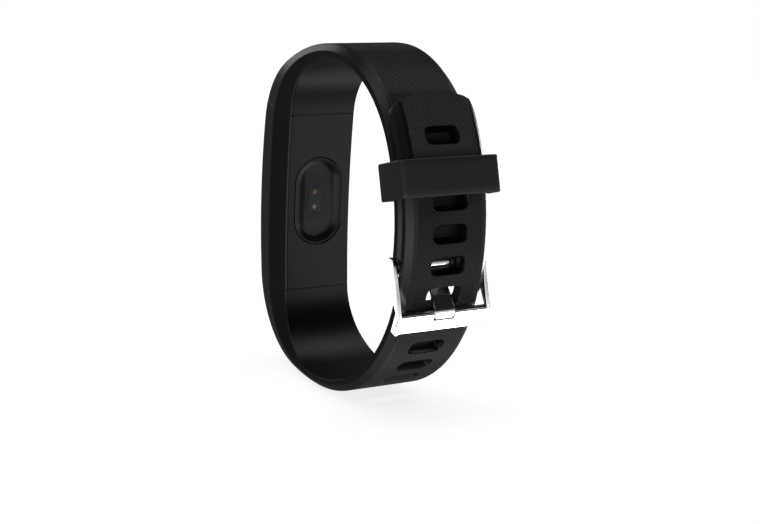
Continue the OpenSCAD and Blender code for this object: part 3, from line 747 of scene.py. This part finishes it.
keeper_outer = keeper_outline(r0, r1, keeper_half_w, [0.6, 2.2, 2.2, 0.6])
keeper_inner = keeper_outline(r0 + KEEPER_FOOT_T, r1 - KEEPER_T, keeper_half_w - KEEPER_T,
                              [0.25, 0.9, 0.9, 0.25])


def keeper_loop(outline, s):
    up = direction(KEEPER_A + 90)
    points = [(add(on(wrist_c, r, KEEPER_A), up, s), y) for r, y in outline]
    return [(p[0], y, p[1]) for p, y in points]


def keeper_edge(outline, end, inwards):
    """Loops that round the keeper's edge at one end (-1 or 1), from the end's face on."""
    turns = [pi / 2 * k / EDGE_STEPS for k in range(EDGE_STEPS + 1)]
    return [keeper_loop(outline_offset(outline, inwards * KEEPER_EDGE * (1 - sin(a))),
                        end * (KEEPER_HALF - KEEPER_EDGE * (1 - cos(a)))) for a in turns]


flat = KEEPER_HALF - KEEPER_EDGE
loops = (keeper_edge(keeper_outer, -1, 1)
         + [keeper_loop(keeper_outer, -flat + 2 * flat * k / 6) for k in range(1, 6)]
         + keeper_edge(keeper_outer, 1, 1)[::-1] + keeper_edge(keeper_inner, 1, -1)
         + keeper_edge(keeper_inner, -1, -1)[::-1])
loops.append(loops[0])
v, f = rings(loops, close_ends=False)
keeper = new_object("keeper_loop", v, f, [keeper_rubber], angle=45)
bm = bmesh.new()
bm.from_mesh(keeper.data)
bmesh.ops.remove_doubles(bm, verts=bm.verts, dist=1e-7)
bmesh.ops.recalc_face_normals(bm, faces=bm.faces)
bm.to_mesh(keeper.data)
bm.free()
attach(keeper, "keeper")
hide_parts("keeper")

# ---------------------------------------------------------------- buckle
pin_c = on(wrist_c, WRIST_R + STRAP_T / 2 - 0.35, PIN_A)
bar_r = long_out + 0.3 + 0.75
bar_c = on(wrist_c, bar_r, BAR_A)
bar_out, bar_up = direction(BAR_A), direction(BAR_A + 90)
to_bar = degrees(atan2(bar_c[1] - pin_c[1], bar_c[0] - pin_c[0]))
arm_outline = [on(pin_c, 1.75, to_bar + a) for a in range(75, 286, 15)]
BAR_HALF_T, BAR_HALF_H, BAR_HALF_W = 0.75, 2.05, 10.55
ARM_IN, ARM_OUT = 9.75, 10.65


def at_bar(u, v):
    """The point u out from the wrist and v up the strap from the crossbar's middle."""
    return add(add(bar_c, bar_out, u), bar_up, v)


arm_outline = arm_outline + [at_bar(-BAR_HALF_T, 2.2), at_bar(-BAR_HALF_T, -BAR_HALF_H),
                             at_bar(BAR_HALF_T, -BAR_HALF_H), at_bar(0.74, 2.0)]


def flat_place(u, y, v):
    return (u, y, v)


arms = []
for s in (-1, 1):
    y0, y1 = sorted((s * ARM_IN, s * ARM_OUT))
    arms.append(plate("buckle_arm", arm_outline, y0, y1, 0.22, flat_place, [chrome]))


def bar_place(u, y, v):
    p = at_bar(u, v)
    return (p[0], y, p[1])


bar_corners = [(BAR_HALF_T * u, BAR_HALF_H * v) for u, v in ((-1, -1), (1, -1), (1, 1), (-1, 1))]
bar_outline = rounded_corners(bar_corners, [0.3, 0.45, 0.45, 0.3], 5)
bar = plate("buckle_bar", bar_outline, -BAR_HALF_W, BAR_HALF_W, 0.25, bar_place, [chrome])
NOTCH_HALF_W = 2.45
notch = plate("notch", [(-0.15, 0.35), (1.6, 0.35), (1.6, 3), (-0.15, 3)], -NOTCH_HALF_W, NOTCH_HALF_W, 0.1,
              bar_place, [chrome])
cut(bar, notch, 40)
bpy.ops.object.select_all(action="DESELECT")
for o in arms + [bar]:
    o.select_set(True)
bpy.context.view_layer.objects.active = bar
bpy.ops.object.join()
bar.name = "buckle_frame_polished"
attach(bar, "buckle")
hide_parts("buckle_frame")

# tongue: a bent strip with rounded edges, rolled round the spring bar
lift = long_out + 0.3
path = [on(pin_c, 1.0, to_bar + 178), on(pin_c, 1.0, to_bar + 120), on(wrist_c, 41.35, PIN_A - 1.0),
        on(wrist_c, 41.2, PIN_A - 3), on(wrist_c, 41.6, PIN_A - 4.6), on(wrist_c, 43.2, PIN_A - 6.4),
        on(wrist_c, 45.2, TONGUE_A - 1.4), on(wrist_c, lift + 1.05, TONGUE_A - 2.9),
        on(wrist_c, lift + 1.2, BAR_A + 1.6), on(wrist_c, lift + 1.15, BAR_A + 0.55)]
TONGUE_HALF_W, TONGUE_HALF_T, TONGUE_R = 2.3, 0.38, 0.35
TIP_NARROWS, TIP_THINS = 1.2, 0.5


def smooth_path(points, per):
    """A smooth curve through the points, with per steps between each two."""
    out = []
    for i in range(len(points) - 1):
        p0 = points[max(i - 1, 0)]
        p1, p2 = points[i], points[i + 1]
        p3 = points[min(i + 2, len(points) - 1)]
        for k in range(per):
            t = k / per
            out.append(tuple(0.5 * (2 * p1[j] + (p2[j] - p0[j]) * t
                                    + (2 * p0[j] - 5 * p1[j] + 4 * p2[j] - p3[j]) * t * t
                                    + (3 * p1[j] - p0[j] - 3 * p2[j] + p3[j]) * t ** 3) for j in (0, 1)))
    return out + [points[-1]]


line = smooth_path(path, 8)
total = lengths(line)
loops = []
for i, p in enumerate(line):
    a, b = line[max(i - 1, 0)], line[min(i + 1, len(line) - 1)]
    tx, tz = b[0] - a[0], b[1] - a[1]
    ln = hypot(tx, tz)
    nx, nz = -tz / ln, tx / ln
    left = total[-1] - total[i]
    w = TONGUE_HALF_W * (1 if left > TIP_NARROWS else sqrt(1 - (1 - left / TIP_NARROWS) ** 2 * 0.45))
    th = TONGUE_HALF_T * (1 if left > TIP_THINS else 0.55 + 0.45 * left / TIP_THINS)
    ring = rounded_corners([(-w, -th), (w, -th), (w, th), (-w, th)], [TONGUE_R] * 4, 4)
    loops.append([(p[0] + nx * h, y, p[1] + nz * h) for y, h in ring])
v, f = rings(loops)
tongue = new_object("buckle_tongue_polished", v, f, [chrome], angle=45)


def turned(profile, count, side=1):
    """Rings round the spring bar's axis, from (y, radius) pairs."""
    return [[(pin_c[0] + r * cos(2 * pi * k / count), side * y, pin_c[1] + r * sin(2 * pi * k / count))
             for k in range(count)] for y, r in profile]


BARREL = ((-2.3, 0.9), (-2.3, 1.3), (-2.15, 1.45), (2.15, 1.45), (2.3, 1.3), (2.3, 0.9), (-2.3, 0.9))
v, f = rings(turned(BARREL, 40), close_ends=False)
barrel = new_object("tongue_barrel", v, f, [chrome], angle=35)
bpy.ops.object.select_all(action="DESELECT")
tongue.select_set(True)
barrel.select_set(True)
bpy.context.view_layer.objects.active = tongue
bpy.ops.object.join()
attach(tongue, "tongue")
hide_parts("buckle_tongue")

# lug: the plain strap's end rolled round the spring bar, with a notch for the tongue
LUG = ((2.65, 0.86), (2.65, 1.4), (2.85, 1.58), (9.3, 1.58), (9.5, 1.4), (9.5, 0.86), (2.65, 0.86))
lug_v, lug_f = [], []
for s in (-1, 1):
    v, f = rings(turned(LUG, 36, s), close_ends=False)
    lug_f += [tuple(k + len(lug_v) for k in face) for face in f]
    lug_v += v
lug = new_object("upper_strap_lug", lug_v, lug_f, [keeper_rubber], angle=35)
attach(lug, "band")

# ---------------------------------------------------------------- floor and light
floor_mesh = bpy.data.meshes.new("floor")
FLOOR_HALF, FLOOR_GAP = 3, 0.0002
floor_mesh.from_pydata([(FLOOR_HALF * x, FLOOR_HALF * y, 0) for x, y in ((-1, -1), (1, -1), (1, 1), (-1, 1))],
                       [], [(0, 1, 2, 3)])
floor = bpy.data.objects.new("floor", floor_mesh)
floor.location.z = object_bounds()[0][2] - FLOOR_GAP
bpy.context.scene.collection.objects.link(floor)
floor_mat, floor_tree, floor_bsdf = material("floor_white", (0.93, 0.93, 0.935), 0.7)
floor_tint = tint(floor_tree, noise(floor_tree, 6), (0.92, 0.92, 0.925), (0.94, 0.94, 0.945))
floor_tree.links.new(floor_tint, floor_bsdf.inputs["Base Color"])
floor_bsdf.inputs["Emission Color"].default_value = (1, 1, 1, 1)
floor_bsdf.inputs["Emission Strength"].default_value = 0.8
floor_mesh.materials.append(floor_mat)
floor.visible_glossy = False
floor.visible_diffuse = False
floor.visible_shadow = False

# the world's light, as (direction round the Y axis in degrees, brightness)
STRIPS = [(-180, 0.1), (-128, 0.1), (-112, 0.14), (-92, 0.6), (-76, 0.95), (-62, 0.14), (-50, 0.12),
          (-38, 0.4), (-26, 0.6), (-17, 0.85), (-12, 0.5), (-6, 0.5), (2, 0.75), (12, 0.25), (22, 0.02),
          (66, 0.01), (80, 0.5), (96, 0.95), (110, 0.3), (126, 0.06), (180, 0.1)]
world = bpy.data.worlds.new("studio")
world.use_nodes = True
wt = world.node_tree
wt.nodes.clear()
coord = node(wt, "ShaderNodeTexCoord")
axes = node(wt, "ShaderNodeSeparateXYZ")
wt.links.new(coord.outputs["Generated"], axes.inputs[0])
turn = math(wt, "MULTIPLY_ADD", math(wt, "ARCTAN2", axes.outputs["Z"], axes.outputs["X"]), 0.5 / pi, 0.5)
ramp_node = node(wt, "ShaderNodeValToRGB")
ramp = ramp_node.color_ramp
for k, (angle, level) in enumerate(STRIPS):
    e = ramp.elements[k] if k < 2 else ramp.elements.new((angle + 180) / 360)
    e.position = (angle + 180) / 360
    e.color = (level, level, level, 1)
wt.links.new(turn, ramp_node.inputs["Fac"])
strips = node(wt, "ShaderNodeBackground")
wt.links.new(ramp_node.outputs["Color"], strips.inputs["Color"])
backdrop = node(wt, "ShaderNodeBackground")
backdrop.inputs["Color"].default_value = (1, 1, 1, 1)
rays = node(wt, "ShaderNodeLightPath")
choose = node(wt, "ShaderNodeMixShader")
wt.links.new(rays.outputs["Is Camera Ray"], choose.inputs["Fac"])
wt.links.new(strips.outputs[0], choose.inputs[1])
wt.links.new(backdrop.outputs[0], choose.inputs[2])
wt.links.new(choose.outputs[0], node(wt, "ShaderNodeOutputWorld").inputs["Surface"])
bpy.context.scene.world = world
bpy.context.scene.view_settings.view_transform = "Standard"


def area(name, where, size, power, target=(0, 0, 0), only=None):
    """A soft light that faces the target, and reaches only the given objects if there are any."""
    data = bpy.data.lights.new(name, "AREA")
    data.shape = "RECTANGLE"
    data.size, data.size_y = size
    data.energy = power
    lamp = bpy.data.objects.new(name, data)
    lamp.location = where
    lamp.rotation_euler = (Vector(target) - Vector(where)).to_track_quat("-Z", "Y").to_euler()
    bpy.context.scene.collection.objects.link(lamp)
    if only:
        group = bpy.data.collections.new(name + "_group")
        for o in only:
            group.objects.link(o)
        lamp.light_linking.receiver_collection = group


area("key", (-0.1, -0.45, 0.55), (0.35, 0.35), 0.12)
area("crown", (-0.56, -0.05, 0.21), (0.2, 0.3), 0.22)
area("edge_near", (0.35, -0.58, -0.15), (0.2, 0.3), 0.35)
area("edge_far", (-0.35, 0.55, -0.15), (0.15, 0.3), 1.2)
bar_at = Vector((bar_c[0], 0, bar_c[1])) * MM
area("buckle_side", bar_at + Vector((-0.42, -0.26, -0.12)), (0.4, 0.4), 1.0, bar_at, [bar, tongue])
area("buckle_card", bar_at + Vector((0.25, 0.3, -0.38)), (0.5, 0.5), 4.0, bar_at, [bar, tongue])
